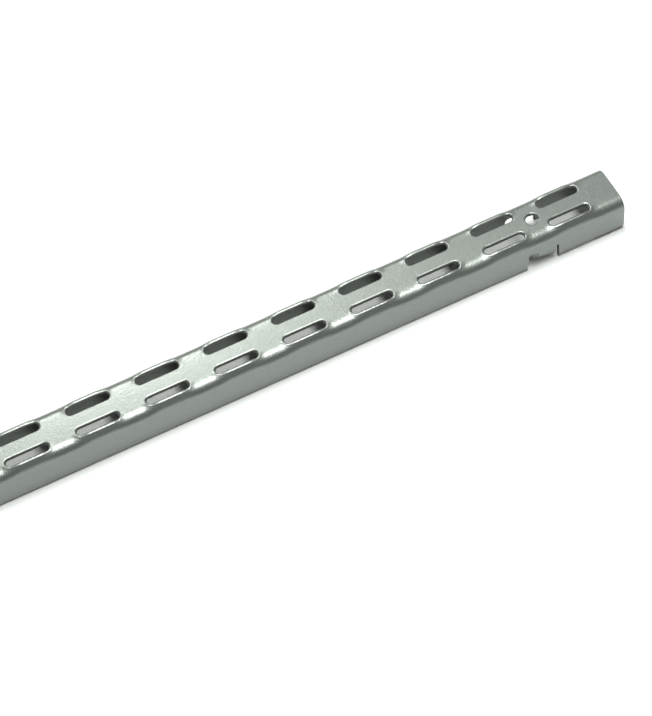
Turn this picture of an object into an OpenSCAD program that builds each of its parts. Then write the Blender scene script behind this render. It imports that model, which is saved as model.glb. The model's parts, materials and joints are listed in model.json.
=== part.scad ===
// Twin-slot shelf standard: one length of roll-formed, painted steel channel.
// X runs along the bar, Z points out of the slotted web, and the open back lies on Z = 0.

/* [Channel] */
// Length that the bar is cut to
bar_l = 500; // [300:1:1000]
// Width over the two flanges
channel_w = 23.6; // [22.8:0.1:28]
// Depth from the face of the web to the back edges of the flanges
channel_h = 17.7; // [16.5:0.1:25]
// Thickness of the sheet
sheet_t = 1.5; // [1.2:0.1:1.8]
// Outer radius of the shoulder bends between the slots
shoulder_r = 5.3; // [4.9:0.1:5.7]

/* [Slots] */
// Distance from one pair of slots to the next
pitch = 32; // [28:0.5:50]
// Distance from the end of the bar to the middle of the first pair
end_to_slot = 24.5; // [14:0.5:40]
// Length of a slot over its round ends
slot_l = 19.3; // [14:0.1:22]
// Width of a slot
slot_w = 4.2; // [3.6:0.1:4.6]
// Distance between the centre lines of the two rows
row_gap = 11.8; // [11.4:0.1:12.2]

/* [Shoulder waves] */
// How far the outer edge of a slot stands up above the face of the web
wave_rise = 0.7; // [0.4:0.05:0.9]
// Length of a wave
wave_l = 24; // [20:0.5:26]
// Outer radius at the crest of a wave
wave_r = 2.4; // [2.2:0.1:2.8]

/* [Screw holes] */
// Diameter of the holes for the wall screws
screw_d = 6; // [4:0.1:7]
// How far the holes lie past the middle between two pairs of slots, towards the notched end
screw_shift = 0.8; // [0:0.1:2]

/* [Hanging notch] */
// Distance from the end of the bar to the near side of the notch
notch_from_end = 33.2; // [30:0.1:60]
// Length of the notch along the flange
notch_l = 15; // [14.5:0.1:17]
// Height of the open mouth above the back edge
mouth_h = 2.6; // [1.5:0.1:3.5]
// Width of the pocket that hangs on the rail
pocket_w = 4.4; // [3.6:0.1:4.8]
// Top of the pocket above the back edge
pocket_h = 9.6; // [9:0.1:10.5]
// Step between the side of the mouth and the pocket
pocket_step = 0.6; // [0.4:0.1:1]
// Width of the slit that frees the tab
slit_w = 0.8; // [0.5:0.1:1]
// Top of the slit above the back edge
slit_h = 8.6; // [8:0.1:9.5]

/* [Bent tab] */
// Height of the bend line above the back edge, at the slit
bend_h = 5.9; // [5.5:0.1:6.4]
// Slope of the bend line, rising towards the pocket
bend_slope = 10; // [6:1:14]
// Inner radius of the tab's bend
bend_r = 2.5; // [2:0.1:3.5]
// Angle that the tab is bent in by
bend_angle = 80; // [50:1:85]
// How far the tab's edge at the pocket slants back on its way down
tab_slant = 1.6; // [0.5:0.1:2.5]

/* [Notched end] */
// How far the back edges between the notch and the end are cut back
relief_h = 1.2; // [0.6:0.1:2]
// Radius of the flanges' corners at that end
corner_r = 2; // [1:0.1:4]

/* [Hidden] */
$fn = 64;
// Overshoot of cuts past the faces they open
past = 1;
// Inset of a wave or a tab below the faces that it rises from, which keeps their surfaces apart
skin = 0.02;
// How far the root of a tab runs up into its flange, and the turn of the bend that it takes
root_h = 0.3;
root_angle = 10;

half_w = channel_w / 2;
pair_x = bar_l / 2 - end_to_slot;
pair_count = floor((bar_l - end_to_slot - slot_l / 2 - past) / pitch) + 1;
last_x = pair_x - (pair_count - 1) * pitch;

// A wave follows the slot's outer edge, and runs out where it has sunk into the shoulder's bend
wave_y = row_gap / 2 + slot_w / 2;
wave_z = channel_h + wave_rise - wave_r;
sunk_z = channel_h - shoulder_r + sqrt(pow(shoulder_r - wave_r, 2) - pow(wave_y - half_w + shoulder_r, 2));
wave_sink = wave_z - sunk_z + skin;
wave_sweep_r = (pow(wave_l / 2, 2) + pow(wave_sink, 2)) / (2 * wave_sink);
wave_half_angle = asin(wave_l / 2 / (wave_sweep_r - wave_r));

notch_x1 = bar_l / 2 - notch_from_end;
notch_x0 = notch_x1 - notch_l;
pocket_x = notch_x0 + pocket_step + pocket_w / 2;
tab_x1 = notch_x1 - slit_w;
tab_x0 = pocket_x + pocket_w / 2;
tab_l = (tab_x1 - tab_x0) / cos(bend_slope);
tab_top_h = bend_h + (tab_x1 - tab_x0) * tan(bend_slope);
bend_out_r = bend_r + sheet_t;

// Outline of the channel's section, grown inwards by a depth, with the open back at the bottom
module section(depth) {
    r = shoulder_r - depth;
    w = half_w - depth;
    h = channel_h - depth;
    translate([-w, -past * sign(depth)]) square([2 * w, h - r + past * sign(depth)]);
    translate([-(w - r), 0]) square([2 * (w - r), h]);
    for (side = [-1, 1])
        translate([side * (w - r), h - r]) circle(r);
}

// A length of the section along the bar
module run(length, depth) {
    translate([-length / 2, 0, 0])
        rotate([90, 0, 90])
            linear_extrude(length)
                section(depth);
}

// Wave of one shoulder beside a slot: a tube on an upright arc that rises out of the bend
module wave(x) {
    translate([x, wave_y, wave_z - wave_sweep_r])
        rotate([90, 0, 0])
            rotate([0, 0, 90 - wave_half_angle])
                rotate_extrude(angle = 2 * wave_half_angle, $fn = 256)
                    translate([wave_sweep_r, 0])
                        circle(wave_r);
}

// Cut of one slot, with full round ends
module slot(x, y) {
    reach = slot_l / 2 - slot_w / 2;
    depth = sheet_t + shoulder_r;
    height = depth + wave_rise + past;
    translate([x, y, channel_h - depth]) {
        for (side = [-1, 1])
            translate([side * reach, 0, 0]) cylinder(h = height, d = slot_w);
        translate([-reach, -slot_w / 2, 0]) cube([2 * reach, slot_w, height]);
    }
}

// Screw hole through the middle of the web
module screw_hole(x) {
    translate([x, 0, channel_h - sheet_t - past])
        cylinder(h = sheet_t + 2 * past, d = screw_d);
}

// Cut through the front flange: open mouth, pocket, slit, and the window that the tab is bent out of
module notch() {
    translate([0, -half_w + sheet_t + past, 0])
        rotate([90, 0, 0])
            linear_extrude(sheet_t + 2 * past) {
                translate([notch_x0, -past]) square([notch_l, mouth_h + past]);
                translate([pocket_x - pocket_w / 2, 0]) square([pocket_w, pocket_h - pocket_w / 2]);
                translate([pocket_x, pocket_h - pocket_w / 2]) circle(d = pocket_w);
                translate([tab_x1, 0]) square([slit_w, slit_h - slit_w / 2]);
                translate([tab_x1 + slit_w / 2, slit_h - slit_w / 2]) circle(d = slit_w);
                polygon([
                    [tab_x1, 0],
                    [tab_x1, bend_h],
                    [tab_x0, tab_top_h],
                    [tab_x0, 0]
                ]);
            }
}

// Cut-back of the back edges between the notch and the end, with the corners of the flanges rounded
module end_cut() {
    corner_x = bar_l / 2 - corner_r;
    translate([notch_x1, -half_w - past, -past])
        cube([notch_from_end + past, channel_w + 2 * past, relief_h + past]);
    difference() {
        translate([corner_x, -half_w - past, relief_h - past])
            cube([corner_r + past, channel_w + 2 * past, corner_r + past]);
        translate([corner_x, half_w + 2 * past, relief_h + corner_r])
            rotate([90, 0, 0]) cylinder(h = channel_w + 4 * past, r = corner_r);
    }
}

// Curled sheet that the tab is cut from, with its bend line along X and a root that starts above that line
module curled_sheet(length) {
    rotate([0, 90, 0])
        rotate([0, 0, -90 - root_angle])
            rotate_extrude(angle = root_angle + bend_angle)
                translate([bend_r + skin, 0]) square([sheet_t - 2 * skin, length]);
}

// Tab of the front flange, rooted in it, bent in below the bend line and trimmed beside the slit and the pocket
module tab() {
    intersection() {
        translate([tab_x0, bend_out_r - half_w, tab_top_h])
            rotate([0, bend_slope, 0])
                translate([-channel_h, 0, 0]) curled_sheet(tab_l + 2 * channel_h);
        translate([0, bend_out_r - half_w, 0])
            rotate([90, 0, 0])
                linear_extrude(bend_out_r)
                    polygon([
                        [tab_x0, tab_top_h + root_h],
                        [tab_x1, bend_h + root_h],
                        [tab_x1, 0],
                        [tab_x0 + tab_slant, 0]
                    ]);
    }
}

module standard() {
    color([0.62, 0.65, 0.62]) {
        difference() {
            union() {
                run(bar_l, 0);
                for (i = [0 : pair_count - 1], side = [0, 1])
                    mirror([0, side, 0]) wave(pair_x - i * pitch);
            }
            run(bar_l + 2 * past, sheet_t);
            for (i = [0 : pair_count - 1], side = [-1, 1])
                slot(pair_x - i * pitch, side * row_gap / 2);
            for (x = [pair_x - pitch / 2, last_x + pitch / 2])
                screw_hole(x + screw_shift);
            for (side = [0, 1])
                mirror([0, side, 0]) notch();
            end_cut();
        }
        for (side = [0, 1])
            mirror([0, side, 0]) tab();
    }
}

standard();
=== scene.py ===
"""Twin-slot shelf standard: the rolled sheet with its painted rims, on a pale floor in soft light."""

import json
import math

import bpy
import numpy as np
from mathutils import Matrix, Vector
from mathutils.geometry import delaunay_2d_cdt
from mathutils.kdtree import KDTree


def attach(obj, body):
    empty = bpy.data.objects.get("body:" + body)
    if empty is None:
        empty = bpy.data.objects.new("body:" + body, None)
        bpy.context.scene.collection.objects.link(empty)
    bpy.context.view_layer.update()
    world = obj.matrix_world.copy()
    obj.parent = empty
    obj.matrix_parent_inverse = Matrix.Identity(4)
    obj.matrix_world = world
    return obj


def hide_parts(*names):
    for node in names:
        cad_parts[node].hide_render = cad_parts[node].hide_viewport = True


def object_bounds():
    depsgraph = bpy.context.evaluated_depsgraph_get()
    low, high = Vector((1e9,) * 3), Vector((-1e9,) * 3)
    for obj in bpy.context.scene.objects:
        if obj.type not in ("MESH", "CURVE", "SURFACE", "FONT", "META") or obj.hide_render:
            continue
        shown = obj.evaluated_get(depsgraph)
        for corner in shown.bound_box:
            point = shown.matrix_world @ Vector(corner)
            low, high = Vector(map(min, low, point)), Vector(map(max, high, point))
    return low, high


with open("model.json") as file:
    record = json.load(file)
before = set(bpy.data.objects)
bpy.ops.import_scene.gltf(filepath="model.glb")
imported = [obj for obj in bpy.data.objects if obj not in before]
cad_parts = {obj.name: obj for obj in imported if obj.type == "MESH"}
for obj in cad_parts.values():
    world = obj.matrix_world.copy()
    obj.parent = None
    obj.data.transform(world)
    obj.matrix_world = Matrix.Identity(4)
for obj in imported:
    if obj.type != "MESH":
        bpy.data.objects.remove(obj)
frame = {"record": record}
cad_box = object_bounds()
mounts = {mount["name"]: mount for mount in frame["record"]["mounts"]}

# Sizes of the channel and its holes, in metres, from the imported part
MM = 0.001
HALF_L, HALF_W = cad_box[1][:2]
SCREW = mounts["screw_hole_upper"]["dims"]
SLOTS = mounts["slots_upper"]["dims"]
SHEET_T = SCREW["length_mm"] * MM
WEB_Z = mounts["screw_hole_upper"]["pos_m"][2] + SHEET_T / 2
SCREW_R = SCREW["r_mm"] * MM
SCREW_XS = [mounts[name]["pos_m"][0] for name in ("screw_hole_upper", "screw_hole_lower")]
PITCH = SLOTS["spacing_x_mm"] * MM
ROW_Y = SLOTS["spacing_y_mm"] * MM / 2
SLOT_HALF_L = SLOTS["slot_length_mm"] * MM / 2
SLOT_R = SLOTS["hole_r_mm"] * MM
END_MARGIN = 1 * MM
PAIRS_EACH_WAY = 40
PAIR_XS = np.array([
    x for x in (mounts["slots_upper"]["pos_m"][0] + (k + 0.5) * PITCH
                for k in range(-PAIRS_EACH_WAY, PAIRS_EACH_WAY))
    if abs(x) + SLOT_HALF_L + END_MARGIN < HALF_L
])

# Shoulder bends: full between the slots, and half bent beside them, where the strip's free edge stands up
SHOULDER_R = 5.15 * MM
EASE_R = 20 * MM
EASE_TURN = math.radians(6)
CROWN_TURN = math.radians(1.5)
WAVE_R = 6 * MM
WAVE_TURN = math.radians(45)
WAVE_FROM_H = 12.9 * MM
WAVE_FULL = 4.5 * MM
WAVE_END = 12.5 * MM
WAVE_FOOT = 2.5 * MM
STRIP_L = 19.65 * MM

# Hanging notch and its bent tab, as heights above the back edge and stations along the bar
NOTCH_FROM_END = 33.2 * MM
NOTCH_L = 15 * MM
NOTCH_X1 = HALF_L - NOTCH_FROM_END
NOTCH_X0 = NOTCH_X1 - NOTCH_L
MOUTH_H = 2.6 * MM
POCKET_R = 2.2 * MM
POCKET_H = 9.6 * MM
POCKET_STEP = 0.6 * MM
POCKET_X = NOTCH_X0 + POCKET_STEP + POCKET_R
SLIT_W = 0.8 * MM
SLIT_H = 8.6 * MM
TAB_X0 = POCKET_X + POCKET_R
TAB_X1 = NOTCH_X1 - SLIT_W
TAB_SLANT = 1.6 * MM
TAB_LOW_H = 1.3 * MM
BEND_H = 7.8 * MM
BEND_SLOPE = math.radians(10)
NEAR_BEND_R = 13 * MM
FAR_BEND_R = 1.65 * MM
RELIEF_H = 0.7 * MM
CORNER_R = 2 * MM

# The sheet is laid out flat as (x, g): g is the girth across the soft section, from the middle of the web
BEND_L = SHOULDER_R * (math.pi / 2 - EASE_TURN)
EASE_L = EASE_R * (EASE_TURN - CROWN_TURN)
WEB_G = HALF_W - SHOULDER_R * (1 - math.sin(EASE_TURN)) - EASE_L
ARC_G = EASE_L + BEND_L
TABLE_POINTS = 4001
TABLE_G = np.linspace(0, WEB_G + ARC_G, TABLE_POINTS)
TABLE_TURN = np.interp(TABLE_G, [0, WEB_G, WEB_G + EASE_L, WEB_G + ARC_G],
                       [0, CROWN_TURN, EASE_TURN, math.pi / 2])
TABLE_STEP = TABLE_G[1]
TABLE_Y = (np.cumsum(np.cos(TABLE_TURN)) - 1) * TABLE_STEP
TABLE_Y *= HALF_W / TABLE_Y[-1]
TABLE_Z = WEB_Z - np.cumsum(np.sin(TABLE_TURN)) * TABLE_STEP
BACK_G = WEB_G + ARC_G + TABLE_Z[-1]
SLOT_G0 = ROW_Y - SLOT_R
SLOT_G1 = BACK_G - STRIP_L

# Rounding of the edges on the face and on the inside, and the spacing of the mesh
SLOT_RIM = (1.0 * MM, 0.25 * MM)
SCREW_RIM = (0.6 * MM, 0.25 * MM)
CUT_RIM = (0.5 * MM, 0.25 * MM)
RIM_STEPS = 6
STEP_X = 1.25 * MM
STEP_EDGE = 1.0 * MM
STEP_TAB = 0.8 * MM
WEB_ROWS = 6
ARC_ROWS = 12
FLANGE_ROWS = 7
ROUND_STEPS = 14
SMALL_ROUND_STEPS = 8
SCREW_STEPS = 40
CLEAR = 0.35 * MM
NEAR_HOLE = SLOT_HALF_L + CLEAR
NUDGE = 1e-7
CUT_SCALE = 1000
CUT_TOLERANCE = 1e-9


def ease(low, high, value):
    """Smooth step from 0 at low to 1 at high."""
    t = np.clip((value - low) / (high - low), 0, 1)
    return t * t * (3 - 2 * t)


def swell(x):
    """How far the shoulder at a station stands up in a wave, from 0 to 1."""
    nearest = np.min(np.abs(np.asarray(x)[:, None] - PAIR_XS[None, :]), axis=1)
    return 1 - ease(WAVE_FULL, WAVE_END, nearest)


def bend_line(x):
    """Height of the tab's bend line above the back edge."""
    return BEND_H + (TAB_X1 - x) * math.tan(BEND_SLOPE)


def curl(points, x, height, side):
    """Bends the points of the tabs in round the bend line: the near one a little, the far one right up."""
    below = (bend_line(x) - height) * math.cos(BEND_SLOPE)
    on_tab = (x > TAB_X0 - CLEAR) & (x < TAB_X1 + SLIT_W / 2) & (below > 0)
    girth = np.where(on_tab, below, 0.0)
    radius = np.where(side < 0, NEAR_BEND_R, FAR_BEND_R)
    turn = np.minimum(girth / radius, math.pi)
    rest = girth - radius * turn
    down = np.array([-math.sin(BEND_SLOPE), 0.0, -math.cos(BEND_SLOPE)])
    slide = radius * np.sin(turn) - rest - girth * on_tab
    points = points + slide[:, None] * down
    points[:, 1] -= side * radius * (1 - np.cos(turn))
    return points


def surface(x, g):
    """Points of the outer face for layout points (x, g)."""
    side = np.where(g < 0, -1.0, 1.0)
    girth = np.abs(g)
    height = BACK_G - girth
    y = np.interp(girth, TABLE_G, TABLE_Y)
    z = np.interp(girth, TABLE_G, TABLE_Z) - np.maximum(girth - WEB_G - ARC_G, 0)
    lean = np.clip((height - WAVE_FROM_H) / WAVE_R, 0, WAVE_TURN)
    flat = np.maximum(height - WAVE_FROM_H - WAVE_R * WAVE_TURN, 0)
    wave_y = HALF_W - WAVE_R * (1 - np.cos(lean)) - flat * math.sin(WAVE_TURN)
    wave_z = np.minimum(height, WAVE_FROM_H) + WAVE_R * np.sin(lean) + flat * math.cos(WAVE_TURN)
    share = swell(x) * ease(SLOT_G1 - WAVE_FOOT, SLOT_G1, girth)
    y += share * (wave_y - y)
    z += share * (wave_z - z)
    return curl(np.column_stack([x, side * y, z]), x, height, side)


def slopes(x, g):
    """Unit directions along x and along g on the outer face, and its outward normal."""
    along = surface(x + NUDGE, g) - surface(x - NUDGE, g)
    across = surface(x, g + NUDGE) - surface(x, g - NUDGE)
    normal = np.cross(along, across)
    return [v / np.linalg.norm(v, axis=1)[:, None] for v in (along, across, normal)]


def arc(x, g, radius, start, end, steps):
    """Points on an arc of the layout, its angles in degrees."""
    angles = np.radians(np.linspace(start, end, steps + 1))
    return np.column_stack([x + radius * np.cos(angles), g + radius * np.sin(angles)])


def line(start, end, step):
    """Evenly spaced points from start up to, but not at, end."""
    start, end = np.array(start), np.array(end)
    count = max(1, round(np.linalg.norm(end - start) / step))
    return start + (end - start) * (np.arange(count) / count)[:, None]


def slot_loop(x, side):
    """Edge of one slot with round ends."""
    middle = side * (SLOT_G0 + SLOT_G1) / 2
    radius = (SLOT_G1 - SLOT_G0) / 2
    reach = SLOT_HALF_L - radius
    return np.vstack([
        arc(x + reach, middle, radius, -90, 90, ROUND_STEPS)[:-1],
        line((x + reach, middle + radius), (x - reach, middle + radius), STEP_EDGE),
        arc(x - reach, middle, radius, 90, 270, ROUND_STEPS)[:-1],
        line((x - reach, middle - radius), (x + reach, middle - radius), STEP_EDGE),
    ])


def notch_edge():
    """Edge of the notch as (x, height) from the bar's near end inwards: slit, tab, pocket and mouth."""
    slit_x = TAB_X1 + SLIT_W / 2
    slit_top = SLIT_H - SLIT_W / 2
    pocket_top = POCKET_H - POCKET_R
    tab_foot = TAB_X0 + TAB_SLANT
    mouth_x = POCKET_X - POCKET_R
    return np.vstack([
        line((NOTCH_X1, RELIEF_H), (NOTCH_X1, slit_top), STEP_EDGE),
        arc(slit_x, slit_top, SLIT_W / 2, 0, 180, SMALL_ROUND_STEPS)[:-1],
        line((TAB_X1, slit_top), (TAB_X1, TAB_LOW_H), STEP_TAB),
        line((TAB_X1, TAB_LOW_H), (tab_foot, TAB_LOW_H), STEP_TAB),
        line((tab_foot, TAB_LOW_H), (TAB_X0, pocket_top), STEP_TAB),
        arc(POCKET_X, pocket_top, POCKET_R, 0, 180, ROUND_STEPS)[:-1],
        line((mouth_x, pocket_top), (mouth_x, MOUTH_H), STEP_EDGE),
        line((mouth_x, MOUTH_H), (NOTCH_X0, MOUTH_H), STEP_EDGE),
        line((NOTCH_X0, MOUTH_H), (NOTCH_X0, 0), STEP_EDGE),
    ])


def rows():
    """Girths of the mesh's rows, from the middle of the web to the back edge."""
    return np.concatenate([
        np.linspace(0, WEB_G, WEB_ROWS + 1)[:-1],
        np.linspace(WEB_G, WEB_G + ARC_G, ARC_ROWS + 1)[:-1],
        np.linspace(WEB_G + ARC_G, BACK_G, FLANGE_ROWS + 1),
    ])


def outline():
    """Edge of the whole sheet: both ends, and both back edges with the notches and rounded corners."""
    half = rows()
    far_g = np.concatenate([half[:0:-1], -half])[:-1]
    far_end = np.column_stack([np.full(len(far_g), -HALF_L), far_g])
    corner_g = BACK_G - RELIEF_H - CORNER_R
    half = np.append(half[half < corner_g - CLEAR], corner_g)
    near_g = np.concatenate([-half[:0:-1], half])[:-1]
    near_end = np.column_stack([np.full(len(near_g), HALF_L), near_g])
    notch = notch_edge()
    back = np.vstack([
        arc(HALF_L - CORNER_R, corner_g, CORNER_R, 0, 90, SMALL_ROUND_STEPS)[:-1],
        line((HALF_L - CORNER_R, BACK_G - RELIEF_H), (NOTCH_X1, BACK_G - RELIEF_H), STEP_EDGE),
        np.column_stack([notch[:, 0], BACK_G - notch[:, 1]]),
        line((NOTCH_X0, BACK_G), (-HALF_L, BACK_G), STEP_EDGE),
    ])
    front = np.vstack([[(-HALF_L, -BACK_G)], back[:0:-1] * (1, -1)])
    return np.vstack([near_end, back, far_end, front])


def inside(points, loop):
    """Which points lie inside a closed loop."""
    x, g = points[:, 0], points[:, 1]
    result = np.zeros(len(points), bool)
    for (x0, g0), (x1, g1) in zip(loop, np.roll(loop, -1, axis=0)):
        if g0 != g1:
            crosses = (g0 > g) != (g1 > g)
            result ^= crosses & (x < x0 + (g - g0) / (g1 - g0) * (x1 - x0))
    return result


def area(loop):
    """Signed area of a closed loop."""
    x, g = loop.T
    return float(np.sum(x * np.roll(g, -1) - np.roll(x, -1) * g)) / 2


def miter(loop):
    """Step at each point that moves the edge a unit into the sheet, which lies on the loop's left."""
    ahead = np.roll(loop, -1, axis=0) - loop
    ahead /= np.linalg.norm(ahead, axis=1)[:, None]
    left = np.column_stack([-ahead[:, 1], ahead[:, 0]])
    before = np.roll(left, 1, axis=0)
    return (left + before) / (1 + np.sum(left * before, axis=1))[:, None]


def rim_profile(face_r, inner_r):
    """Rounded edge of the sheet as (distance into the sheet, depth, tilt of the normal from the face)."""
    quarter = np.linspace(0, math.pi / 2, RIM_STEPS + 1)
    face = [(face_r * (1 - math.sin(a)), face_r * (1 - math.cos(a)), a) for a in quarter]
    inner = [(inner_r * (1 - math.cos(a)), SHEET_T - inner_r * (1 - math.sin(a)), math.pi / 2 + a)
             for a in quarter]
    return face + inner


def holes():
    """Edges of the slots and screw holes, each with its rim."""
    slots = [(slot_loop(x, side), SLOT_RIM) for x in PAIR_XS for side in (-1, 1)]
    return slots + [(arc(x, 0, SCREW_R, 0, 360, SCREW_STEPS)[:-1], SCREW_RIM) for x in SCREW_XS]


def fill_points(edges):
    """Grid points of the sheet that keep clear of every edge."""
    half = rows()
    g_rows = np.concatenate([-half[:0:-1], half])
    columns = np.linspace(-HALF_L, HALF_L, round(2 * HALF_L / STEP_X) + 1)
    grid = np.array([(x, g) for x in columns for g in g_rows])
    tree = KDTree(sum(len(edge) for edge in edges))
    for edge in edges:
        for x, g in edge:
            tree.insert((x, g, 0), 0)
    tree.balance()
    return np.array([p for p in grid if tree.find((p[0], p[1], 0))[2] > CLEAR])


def sheet_edges():
    """Edges of the sheet and its holes with their rims, each with the sheet on its left."""
    loops = [(outline(), CUT_RIM)] + holes()
    return [(loop if (area(loop) > 0) == (i == 0) else loop[::-1], rim)
            for i, (loop, rim) in enumerate(loops)]


def on_sheet(points, starts):
    """Which points lie inside the outer edge and outside the holes that they are near."""
    result = inside(points, starts[0])
    for start in starts[1:]:
        near = np.abs(points[:, 0] - start[:, 0].mean()) < NEAR_HOLE
        result[near] &= ~inside(points[near], start)
    return result


def triangles(layout, starts):
    """Triangles between the layout points, which begin with the points of the edges."""
    edges, first = [], 0
    for start in starts:
        numbers = np.arange(first, first + len(start))
        edges += list(zip(numbers.tolist(), np.roll(numbers, -1).tolist()))
        first += len(start)
    cut = delaunay_2d_cdt([Vector(p) for p in layout * CUT_SCALE], edges, [], 0, CUT_TOLERANCE)
    origin = [group[0] for group in cut[3]]
    faces = np.array([[origin[i] for i in face] for face in cut[2]])
    return faces[on_sheet(layout[faces].mean(axis=1), starts)]


def lay(flat, depth):
    """Points at a depth below the outer face, and the face's normals there."""
    _, _, normal = slopes(flat[:, 0], flat[:, 1])
    return surface(flat[:, 0], flat[:, 1]) - depth * normal, normal


def rim_ring(flat, step, depth, tilt):
    """Points and normals of one ring of a rim."""
    along, across, normal = slopes(flat[:, 0], flat[:, 1])
    out = -(step[:, :1] * along + step[:, 1:] * across)
    out /= np.linalg.norm(out, axis=1)[:, None]
    points = surface(flat[:, 0], flat[:, 1]) - depth * normal
    return points, math.cos(tilt) * normal + math.sin(tilt) * out


def foot_heights(flat):
    """Heights above the back edge that set where the painted shade lies along the foot, higher beside the
    relief and also along the slit's side.
    """
    x, g = flat.T
    height, past_slit = BACK_G - np.abs(g), x - NOTCH_X1
    beside_end = past_slit > -NUDGE
    # Painted shade reaches higher beside the relief, for the shadow in the gap under it, and runs up the
    # slit's side, for the shade in the slit
    foot = height - (RELIEF_H + RELIEF_SHADE_H) * beside_end
    return np.where(beside_end & (height < SLIT_H), np.minimum(foot, past_slit), foot)


def sheet_mesh():
    """The rolled sheet as one mesh, with rounded edges all round and its true normals."""
    loops = sheet_edges()
    steps = [miter(loop) for loop, _ in loops]
    starts = [loop + step * rim[0] for (loop, rim), step in zip(loops, steps)]
    ends = [loop + step * rim[1] for (loop, rim), step in zip(loops, steps)]
    fill = fill_points(starts)
    fill = fill[on_sheet(fill, starts)]
    flats = [np.vstack(starts + [fill]), np.vstack(ends + [fill])]
    face_co, face_n = lay(flats[0], 0)
    under_co, under_n = lay(flats[1], SHEET_T)
    coords, normals = [face_co, under_co], [face_n, -under_n]
    count = len(face_co)
    faces = triangles(flats[0], starts)
    polygons = [tuple(face) for face in faces] + [tuple(face[::-1] + count) for face in faces]

    total, first = 2 * count, 0
    for (loop, rim), step in zip(loops, steps):
        size = len(loop)
        ring = np.arange(first, first + size)
        last = ring + count
        for inset, depth, tilt in rim_profile(*rim)[1:-1]:
            flats.append(loop + step * inset)
            points, normal = rim_ring(flats[-1], step, depth, tilt)
            coords.append(points)
            normals.append(normal)
            new = np.arange(total, total + size)
            polygons += quads(ring, new)
            ring, total = new, total + size
        polygons += quads(ring, last)
        first += size

    mesh = bpy.data.meshes.new("standard_sheet")
    mesh.from_pydata(np.vstack(coords).tolist(), [], [[int(i) for i in p] for p in polygons])
    foot = mesh.attributes.new("above_foot", "FLOAT", "POINT")
    foot.data.foreach_set("value", foot_heights(np.vstack(flats)))
    mesh.polygons.foreach_set("use_smooth", [True] * len(mesh.polygons))
    mesh.normals_split_custom_set_from_vertices(np.vstack(normals).tolist())
    mesh.validate()
    return mesh


def quads(ring, new):
    """Quads between two rings of vertex numbers, facing out of the sheet."""
    return list(zip(np.roll(ring, -1), ring, new, np.roll(new, -1)))


def node(tree, kind, **inputs):
    """A shader node with its input values set by name."""
    made = tree.nodes.new(kind)
    for name, value in inputs.items():
        made.inputs[name.replace("_", " ")].default_value = value
    return made


def link(tree, source, output, target, socket):
    """Joins an output of one shader node to an input of another."""
    tree.links.new(source.outputs[output], target.inputs[socket])


def colour_mix(tree, **colours):
    """A mix of colours, with A and B set where given."""
    made = node(tree, "ShaderNodeMix")
    made.data_type = "RGBA"
    for name, colour in colours.items():
        made.inputs[name].default_value = colour
    return made


# Paint, and the painted shade along the foot: a near-black band standing in for the contact shadow, the
# shadow in the gap under the relief and the shade in the slit
PAINT_DARK = (0.216, 0.230, 0.216, 1)
PAINT_LIGHT = (0.302, 0.321, 0.302, 1)
PAINT_METAL = 0.7
PAINT_ROUGH = (0.28, 0.40)
FLAKE_SCALE = 3600.0
MOTTLE_SCALE = 900.0
MOTTLE_DETAIL = 3.0
PEEL_SCALE = 1100.0
PEEL_DETAIL = 2.0
PEEL_STRENGTH = 0.4
PEEL_DEPTH = 0.2 * MM
# Painted shade: near-black colour and its height band at the foot, where the contact shadow falls, and the
# extra height beside the relief for its gap shadow
FOOT_SHADE_COLOUR = (0.015, 0.016, 0.015, 1)
FOOT_SHADE_H = (0.25 * MM, 0.5 * MM)
RELIEF_SHADE_H = 0.35 * MM


def paint():
    """Silver-grey metallic powder coat: flakes, a soft mottle, a faint orange peel, and a near-black band of
    painted shade along the foot and the slit's side.
    """
    material = bpy.data.materials.new("silver_grey_powder_coat")
    material.use_nodes = True
    tree = material.node_tree
    shader = tree.nodes["Principled BSDF"]
    place = node(tree, "ShaderNodeTexCoord")

    flakes = node(tree, "ShaderNodeTexVoronoi", Scale=FLAKE_SCALE)
    link(tree, place, "Object", flakes, "Vector")
    mottle = node(tree, "ShaderNodeTexNoise", Scale=MOTTLE_SCALE, Detail=MOTTLE_DETAIL)
    link(tree, place, "Object", mottle, "Vector")
    spread = node(tree, "ShaderNodeMath")
    spread.operation = "MULTIPLY"
    link(tree, flakes, "Color", spread, 0)
    link(tree, mottle, "Fac", spread, 1)
    colour = colour_mix(tree, A=PAINT_DARK, B=PAINT_LIGHT)
    link(tree, spread, 0, colour, "Factor")

    # Painted shade: near the foot and the slit the paint turns near-black and loses its metal
    edge = node(tree, "ShaderNodeAttribute")
    edge.attribute_name = "above_foot"
    foot_shade = node(tree, "ShaderNodeMapRange",
                From_Min=FOOT_SHADE_H[0], From_Max=FOOT_SHADE_H[1], To_Min=1.0, To_Max=0.0)
    link(tree, edge, "Fac", foot_shade, "Value")
    shaded_paint = colour_mix(tree, B=FOOT_SHADE_COLOUR)
    link(tree, foot_shade, "Result", shaded_paint, "Factor")
    link(tree, colour, "Result", shaded_paint, "A")
    link(tree, shaded_paint, "Result", shader, "Base Color")
    metal = node(tree, "ShaderNodeMapRange", To_Min=PAINT_METAL, To_Max=0.0)
    link(tree, foot_shade, "Result", metal, "Value")
    link(tree, metal, "Result", shader, "Metallic")

    gloss = node(tree, "ShaderNodeMapRange", To_Min=PAINT_ROUGH[0], To_Max=PAINT_ROUGH[1])
    link(tree, flakes, "Color", gloss, "Value")
    link(tree, gloss, "Result", shader, "Roughness")
    peel = node(tree, "ShaderNodeTexNoise", Scale=PEEL_SCALE, Detail=PEEL_DETAIL)
    link(tree, place, "Object", peel, "Vector")
    bump = node(tree, "ShaderNodeBump", Strength=PEEL_STRENGTH, Distance=PEEL_DEPTH)
    link(tree, peel, "Fac", bump, "Height")
    link(tree, bump, "Normal", shader, "Normal")
    return material


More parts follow.
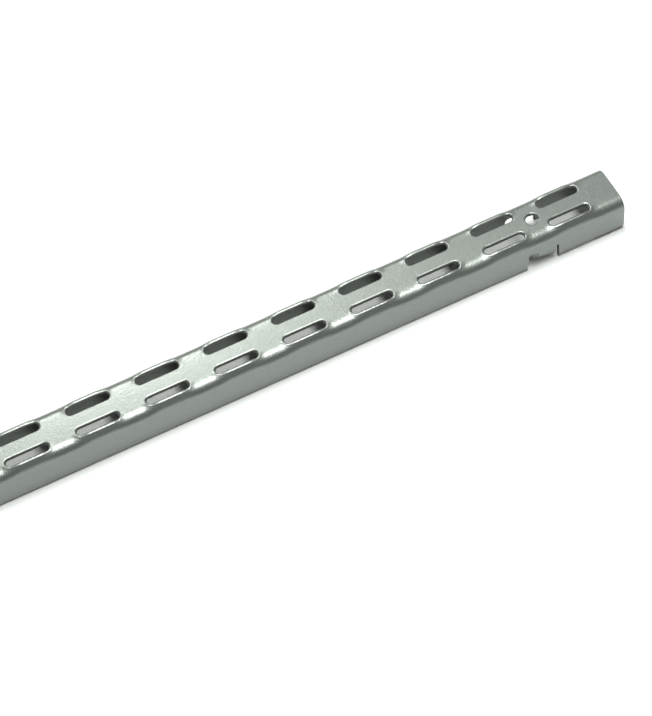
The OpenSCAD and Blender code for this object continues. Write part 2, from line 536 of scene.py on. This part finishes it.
# Floor, a hair below the back edges
FLOOR_DARK = (0.955, 0.955, 0.955, 1)
FLOOR_LIGHT = (0.97, 0.97, 0.97, 1)
FLOOR_ROUGH = 0.9
FLOOR_SHINE = 0.1
FLOOR_TONE_SCALE = 6.0
FLOOR_HALF = 4.0
FLOOR_GAP = 0.6 * MM


def floor_material():
    """Plain pale floor with a barely uneven tone."""
    material = bpy.data.materials.new("pale_floor")
    material.use_nodes = True
    tree = material.node_tree
    shader = tree.nodes["Principled BSDF"]
    shader.inputs["Roughness"].default_value = FLOOR_ROUGH
    shader.inputs["Specular IOR Level"].default_value = FLOOR_SHINE
    tone = node(tree, "ShaderNodeTexNoise", Scale=FLOOR_TONE_SCALE)
    colour = colour_mix(tree, A=FLOOR_DARK, B=FLOOR_LIGHT)
    link(tree, tone, "Fac", colour, "Factor")
    link(tree, colour, "Result", shader, "Base Color")
    return material


def floor():
    """Wide floor under the back edges."""
    mesh = bpy.data.meshes.new("floor")
    h = FLOOR_HALF
    mesh.from_pydata([(-h, -h, 0), (h, -h, 0), (h, h, 0), (-h, h, 0)], [], [(0, 1, 2, 3)])
    mesh.materials.append(floor_material())
    made = bpy.data.objects.new("floor", mesh)
    made.location.z = -FLOOR_GAP
    bpy.context.scene.collection.objects.link(made)


# Light, with the places and sizes of the soft boxes in metres
LIGHT_TINT = (0.965, 1, 0.965)
BOX_X = 0.195
BOX_Z = 1.2
BOX_W = 0.29
TOP_Y = 0.055
FRONT_Y = -0.425
BACKDROP_X = 0.1
BACKDROP_Z = 2.1
SURROUND = 0.12


def soft_box(name, at, target, size, radiance):
    """Rectangular soft light turned to a target."""
    light = bpy.data.lights.new(name, "AREA")
    light.shape = "RECTANGLE"
    light.size, light.size_y = size
    light.energy = radiance * math.pi * size[0] * size[1]
    light.color = LIGHT_TINT
    made = bpy.data.objects.new(name, light)
    made.location = at
    made.rotation_euler = (Vector(target) - Vector(at)).to_track_quat("-Z", "Y").to_euler()
    bpy.context.scene.collection.objects.link(made)


def lights():
    """Soft box above, a weaker one in front, a small one behind, a pale backdrop and a dim surround."""
    soft_box("top", at=(BOX_X, TOP_Y, BOX_Z), target=(BOX_X, TOP_Y, 0), size=(BOX_W, 0.61), radiance=26.5)
    soft_box("front", at=(BOX_X, FRONT_Y, BOX_Z), target=(BOX_X, FRONT_Y, 0), size=(BOX_W, 0.35), radiance=9)
    soft_box("behind", at=(0.15, 0.8, 0.88), target=(0, 0, 0), size=(0.28, 0.18), radiance=22)
    soft_box("backdrop", at=(BACKDROP_X, 2.2, BACKDROP_Z), target=(BACKDROP_X, 0, BACKDROP_Z),
             size=(4, 2.6), radiance=0.65)
    world = bpy.data.worlds.new("studio")
    world.use_nodes = True
    background = world.node_tree.nodes["Background"]
    background.inputs["Color"].default_value = (*LIGHT_TINT, 1)
    background.inputs["Strength"].default_value = SURROUND
    bpy.context.scene.world = world


# Camera, from the photo's slot rows, hole, end and shoulder lines
IMAGE_LONG_PX = 716
FOCAL_PX = 2324.5
CAMERA_AT = Vector((-83.73, -542.0, 826.05)) * MM
CAMERA_AZIMUTH = math.radians(19.425)
CAMERA_ELEVATION = math.radians(55.713)
CAMERA_ROLL = math.radians(-7.81)


def camera():
    """Camera at the photo's viewing angle."""
    data = bpy.data.cameras.new("camera")
    data.lens = FOCAL_PX / IMAGE_LONG_PX * data.sensor_width
    made = bpy.data.objects.new("camera", data)
    bpy.context.scene.collection.objects.link(made)
    level = math.cos(CAMERA_ELEVATION)
    ahead = Vector((math.sin(CAMERA_AZIMUTH) * level, math.cos(CAMERA_AZIMUTH) * level,
                    -math.sin(CAMERA_ELEVATION)))
    right = Vector((math.cos(CAMERA_AZIMUTH), -math.sin(CAMERA_AZIMUTH), 0))
    right = Matrix.Rotation(-CAMERA_ROLL, 3, ahead) @ right
    up = right.cross(ahead)
    turn = Matrix((right, up, -ahead)).transposed().to_4x4()
    made.matrix_world = Matrix.Translation(CAMERA_AT) @ turn
    bpy.context.scene.camera = made


standard = bpy.data.objects.new("standard_sheet", sheet_mesh())
bpy.context.scene.collection.objects.link(standard)
standard.data.materials.append(paint())
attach(standard, "root")
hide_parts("standard")

floor()
lights()
camera()
bpy.context.scene.view_settings.view_transform = "Standard"
